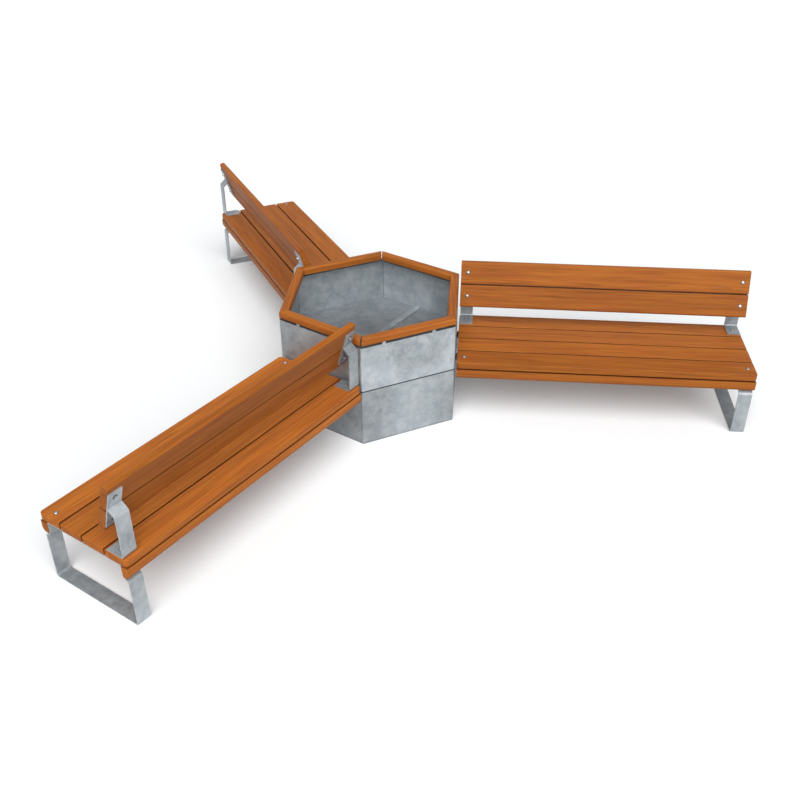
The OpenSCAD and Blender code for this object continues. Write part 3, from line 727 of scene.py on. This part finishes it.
class BENCH_OT_boards(bpy.types.Operator):
    """Shape the planks, rails and slats with the soft edges of planed wood"""
    bl_idname = "bench.boards"
    bl_label = "Boards"

    def execute(self, context):
        look = context.scene.bench_boards
        for arm, turn in ARMS.items():
            for number in range(1, PLANKS + 1):
                self.add("plank_{}" + str(number), arm, turn, self.plank(number, look))
            for part, outer_side in (("slat_lower_{}", -1.0), ("slat_upper_{}", 1.0)):
                self.add(part, arm, turn, self.slat(part, outer_side, look))
            for part in ("rail_front_{}", "rail_rear_{}"):
                self.add(part, arm, turn, self.rail(part, look))
        return {"FINISHED"}

    @staticmethod
    def add(part, arm, turn, shape):
        """Turns a board of bench a to its own bench, where it takes its node's place."""
        node = part.format(arm)
        turned_about(shape, turn)
        piece_of("board_" + node, shape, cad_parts[node].data.materials[0], node)

    @staticmethod
    def plank(number, look):
        """A plank with soft edges. Where it is a corner of the seat, that corner is rounder."""
        low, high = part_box(f"plank_a{number}")
        size = high - low
        outer_side = {1: -1.0, PLANKS: 1.0}.get(number, 0.0)
        shape = sawn_board(size)
        radii = {}
        for edge in edges_along(shape.edges, 2):
            outer = edge.verts[0].co.y * outer_side > 0.0
            radii.setdefault(look.seat_corner if outer else look.end_corner, []).append(edge)
        for radius, edges in radii.items():
            bevelled(shape, edges, radius, CORNER_STEPS)
        rims = edges_at(shape, 2, size.z / 2) + edges_at(shape, 2, -size.z / 2)
        bevelled(shape, rims, look.edge, EDGE_STEPS)
        bmesh.ops.translate(shape, vec=(low + high) / 2, verts=shape.verts)
        return shape

    @staticmethod
    def slat(part, outer_side, look):
        """A slat with well rounded outer edges and tighter ones along the joint between the two."""
        low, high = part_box(part.format("a"))
        size = Vector((high.x - low.x, SLAT_THICKNESS, look.slat_width))
        shape = sawn_board(size)
        for side, radius in ((outer_side, look.slat_round), (-outer_side, look.slat_edge)):
            bevelled(shape, edges_along(edges_at(shape, 2, side * size.z / 2), 0), radius, SLAT_STEPS)
        ends = edges_at(shape, 0, size.x / 2) + edges_at(shape, 0, -size.x / 2)
        bevelled(shape, ends, look.end_corner / 2, END_STEPS)
        bmesh.ops.rotate(shape, cent=(0.0, 0.0, 0.0), matrix=Matrix.Rotation(-BACK_LEAN, 3, "X"),
                         verts=shape.verts)
        bmesh.ops.translate(shape, vec=(low + high) / 2, verts=shape.verts)
        return shape

    @staticmethod
    def rail(part, look):
        """The CAD rail, merged, with its top planed down to leave the dark joint under the planks."""
        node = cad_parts[part.format("a")]
        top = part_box(part.format("a"))[1].z - look.rail_gap
        shape = bmesh.new()
        shape.from_mesh(node.data)
        bmesh.ops.remove_doubles(shape, verts=shape.verts, dist=NEAR)
        everything = shape.verts[:] + shape.edges[:] + shape.faces[:]
        bmesh.ops.bisect_plane(shape, geom=everything, plane_co=(0.0, 0.0, top), plane_no=(0.0, 0.0, 1.0),
                               clear_outer=True)
        bmesh.ops.holes_fill(shape, edges=[edge for edge in shape.edges if edge.is_boundary], sides=0)
        bmesh.ops.dissolve_limit(shape, angle_limit=MERGED_ANGLE, verts=shape.verts, edges=shape.edges)
        bevelled(shape, edges_at(shape, 2, top), look.edge / 2, END_STEPS)
        return shape


class BENCH_OT_steelwork(bpy.types.Operator):
    """Finish the bars, shells, plates and ties in galvanised steel"""
    bl_idname = "bench.steelwork"
    bl_label = "Steelwork"

    def execute(self, context):
        look = context.scene.bench_steel
        bars = galvanised("galvanised_bar", look, 1.0, BAR_START)
        sheet = galvanised("galvanised_sheet", look, 1.0)
        for arm in ARMS:
            for pattern in ("hanger_{}", "mid_tie_{}"):
                dress(pattern.format(arm), bars)
            for pattern in ("leg_frame_{}", "back_bracket_outer_{}", "back_bracket_inner_{}"):
                self.dress_alone(pattern.format(arm), look, BAR_START)
        for number, node in enumerate(SHELLS):
            self.dress_alone(node, look, SHELL_STEP * number, shell=True)
        for node in ("rim_spacers", "joint_plates"):
            dress(node, sheet)
        # The floor in the well and its rib are painted darker through their tones, as painted shade
        dress("tub_floor", galvanised("galvanised_floor", look, TONES_AND_PAINTED_LIGHT["tub_floor"], FLOOR_START))
        dress("floor_rib", galvanised("galvanised_rib", look, TONES_AND_PAINTED_LIGHT["floor_rib"], RIB_START))
        return {"FINISHED"}

    @staticmethod
    def dress_alone(node, look, start, shell=False):
        """Gives a node a zinc of its own, with its own tone, which carries its painted light and painted
        shade.
        """
        dress(node, galvanised("galvanised_" + node, look, TONES_AND_PAINTED_LIGHT.get(node, 1.0), start, shell))


class BENCH_OT_fixings(bpy.types.Operator):
    """Finish the bolts and screws in zinc plate"""
    bl_idname = "bench.fixings"
    bl_label = "Bolts and screws"

    def execute(self, context):
        plate = zinc("zinc_plate", context.scene.bench_steel.bolt)
        for node in ("fixings_a", "fixings_b", "fixings_c", "rim_screws", "joint_bolts"):
            dress(node, plate)
        return {"FINISHED"}


class BENCH_OT_washers(bpy.types.Operator):
    """Put a dark ring of painted shade, shaped as a thin washer, under every domed head and every nut that
    shows
    """
    bl_idname = "bench.washers"
    bl_label = "Washers"

    def execute(self, context):
        look = context.scene.bench_steel
        dark = zinc("dark_washer", look.washer)
        seat_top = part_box("plank_a1")[1].z
        foot_top = seat_top + BAR_THICKNESS + FIT
        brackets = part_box("back_bracket_inner_a"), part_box("back_bracket_outer_a")
        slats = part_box("slat_lower_a"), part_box("slat_upper_a")
        up = Vector((0.0, 0.0, 1.0))
        out = Vector((0.0, -math.cos(BACK_LEAN), math.sin(BACK_LEAN)))
        for arm, turn in ARMS.items():
            shape = bmesh.new()
            for inner, outer in brackets:
                x = (inner.x + outer.x) / 2
                self.ring(shape, look.washer_radius, Vector((x, -BOLT_Y, seat_top)), up)
                self.ring(shape, look.washer_radius, Vector((x, BOLT_Y, foot_top)), up)
                for low, high in slats:
                    middle = (low + high) / 2
                    middle.x = x
                    front = middle + out * SLAT_THICKNESS / 2
                    rear = middle - out * (SLAT_THICKNESS / 2 + BAR_THICKNESS + FIT)
                    self.ring(shape, look.washer_radius, front, out)
                    self.ring(shape, look.nut_washer_radius, rear, -out)
            turned_about(shape, turn)
            piece_of("washers_" + arm, shape, dark)
        return {"FINISHED"}

    @staticmethod
    def ring(shape, radius, place, out):
        """A thin dark washer-shaped sheet of painted shade in the middle of the gap under a head or nut."""
        made = bmesh.ops.create_cone(shape, cap_ends=True, segments=SHADE_WASHER_SIDES, radius1=radius,
                                     radius2=radius, depth=SHADE_WASHER_THICKNESS)
        facing = out.to_track_quat("Z", "Y").to_matrix().to_4x4()
        bmesh.ops.transform(shape, matrix=Matrix.Translation(place + out * FIT / 2) @ facing,
                            verts=made["verts"])


class BENCH_OT_seal(bpy.types.Operator):
    """Finish the seal between base and tub in black rubber"""
    bl_idname = "bench.seal"
    bl_label = "Seal"

    def execute(self, context):
        look = context.scene.bench_seal
        dress("base_seal", rubber("seal_rubber", look.dark, look.bloom))
        return {"FINISHED"}


class BENCH_OT_seams(bpy.types.Operator):
    """Run a bead of sealant down the inside of the upright joints between the half shells"""
    bl_idname = "bench.seams"
    bl_label = "Seam beads"

    def execute(self, context):
        look = context.scene.bench_seal
        shape = bmesh.new()
        # The joint lies in the wall that faces 240 degrees, beside the corner at 270 degrees
        wall = Matrix.Rotation(-HEX_ANGLE, 4, "Z")
        y = -(PLANTER_HALF - BEAD_DEPTH - SEAM_X * math.sin(HEX_ANGLE)) / math.cos(HEX_ANGLE)
        for node in ("base_half_right", "tub_half_right"):
            low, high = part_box(node)
            foot, top = low.z + SHEET, high.z - SHEET
            place = Matrix.Translation((-SEAM_X, y, (foot + top) / 2))
            for turn in (0.0, math.pi):
                bead = bmesh.ops.create_cube(shape, size=1.0)["verts"]
                bmesh.ops.scale(shape, vec=(look.bead_width, BEAD_THICKNESS, top - foot), verts=bead)
                bmesh.ops.transform(shape, matrix=Matrix.Rotation(turn, 4, "Z") @ place @ wall, verts=bead)
        sealant = rubber("seam_sealant", look.sealant, look.sealant_bloom)
        piece_of("seam_beads", shape, sealant)
        return {"FINISHED"}


class BENCH_OT_stage(bpy.types.Operator):
    """Lay the floor, hang the lamp and place the camera"""
    bl_idname = "bench.stage"
    bl_label = "Stage"

    def execute(self, context):
        look = context.scene.bench_stage
        self.lay_floor(look)
        self.light_world(context.scene, look)
        self.hang_lamp(look)
        camera = bpy.data.cameras.new("camera")
        camera.sensor_width = SENSOR
        camera.lens = look.lens
        eye = bpy.data.objects.new("camera", camera)
        eye.location = look.eye
        eye.rotation_euler = look.tilt
        context.scene.collection.objects.link(eye)
        context.scene.camera = eye
        context.scene.view_settings.view_transform = "Standard"
        return {"FINISHED"}

    @staticmethod
    def lay_floor(look):
        """A matt floor, nearly white to the camera, that shows the shadow."""
        shape = bmesh.new()
        bmesh.ops.create_grid(shape, x_segments=1, y_segments=1, size=look.floor_size / 2)
        mesh = bpy.data.meshes.new("floor")
        shape.to_mesh(mesh)
        shape.free()
        floor = bpy.data.objects.new("floor", mesh)
        bpy.context.scene.collection.objects.link(floor)
        graph = new_graph("floor_white")
        seen = seen_directly(graph)
        shown = graph.mix(seen, look.floor_colour, FLOOR_SEEN)
        matt = graph.node("ShaderNodeBsdfDiffuse", None, {"Color": shown})
        white = graph.node("ShaderNodeEmission", None, {"Color": graph.colour(WHITE), "Strength": 1.0})
        lifted = graph.node("ShaderNodeMixShader", None, {0: seen * look.floor_lift, 1: matt, 2: white})
        graph.node("ShaderNodeOutputMaterial", None, {0: lifted})
        mesh.materials.append(graph.owner)

    @staticmethod
    def light_world(scene, look):
        """Even light from all round. The camera and gloss see a white wall under a grey ceiling."""
        scene.world = bpy.data.worlds.new("studio")
        graph = Graph(scene.world)
        rise = graph.split(graph.node("ShaderNodeTexCoord", output="Generated"))[2]
        # White as far up as a level view shows, then grey like a studio's ceiling
        wall = graph.mix(graph.band(rise, *CEILING_BAND), WHITE, look.ceiling)
        sky = graph.colour(SKY_COLOUR)
        lit = graph.node("ShaderNodeBackground", None, {"Color": sky, "Strength": look.sky})
        shown = graph.node("ShaderNodeBackground", None, {"Color": wall, "Strength": 1.0})
        mixed = graph.node("ShaderNodeMixShader", None, {0: seen_directly(graph), 1: lit, 2: shown})
        graph.node("ShaderNodeOutputWorld", None, {0: mixed})

    @staticmethod
    def hang_lamp(look):
        """One large soft lamp that shines towards the planter's foot."""
        lamp = bpy.data.lights.new("key_lamp", "SUN")
        lamp.energy = look.key_power
        lamp.angle = look.key_spread
        hung = bpy.data.objects.new("key_lamp", lamp)
        hung.location = look.key_place
        hung.rotation_euler = (-Vector(look.key_place)).to_track_quat("-Z", "Y").to_euler()
        bpy.context.scene.collection.objects.link(hung)


def seen_directly(graph):
    """1 for rays from the camera, a gloss or a glass, 0 for light that falls on something."""
    camera = graph.node("ShaderNodeLightPath", output="Is Camera Ray")
    gloss = graph.node("ShaderNodeLightPath", output="Is Glossy Ray")
    glass = graph.node("ShaderNodeLightPath", output="Is Transmission Ray")
    return camera.most(gloss).most(glass)


class BENCH_PT_panel(bpy.types.Panel):
    """Lists the bench's finishing steps"""
    bl_idname = "BENCH_PT_panel"
    bl_label = "Bench"
    bl_space_type = "VIEW_3D"
    bl_region_type = "UI"
    bl_category = "Bench"

    def draw(self, context):
        for operator in OPERATORS:
            self.layout.operator(operator.bl_idname)


GROUPS = {"bench_timber": BENCH_PG_timber, "bench_boards": BENCH_PG_boards, "bench_steel": BENCH_PG_steel,
          "bench_seal": BENCH_PG_seal, "bench_stage": BENCH_PG_stage}
OPERATORS = (BENCH_OT_timber, BENCH_OT_boards, BENCH_OT_steelwork, BENCH_OT_fixings, BENCH_OT_washers,
             BENCH_OT_seal, BENCH_OT_seams, BENCH_OT_stage)
CLASSES = (*GROUPS.values(), *OPERATORS, BENCH_PT_panel)


def register():
    for cls in CLASSES:
        bpy.utils.register_class(cls)
    for name, group in GROUPS.items():
        setattr(bpy.types.Scene, name, bpy.props.PointerProperty(type=group))


def unregister():
    for name in GROUPS:
        delattr(bpy.types.Scene, name)
    for cls in reversed(CLASSES):
        bpy.utils.unregister_class(cls)


def main():
    register()
    bpy.ops.bench.timber()
    bpy.ops.bench.boards()
    bpy.ops.bench.steelwork()
    bpy.ops.bench.fixings()
    bpy.ops.bench.washers()
    bpy.ops.bench.seal()
    bpy.ops.bench.seams()
    bpy.ops.bench.stage()


if __name__ == "__main__":
    main()
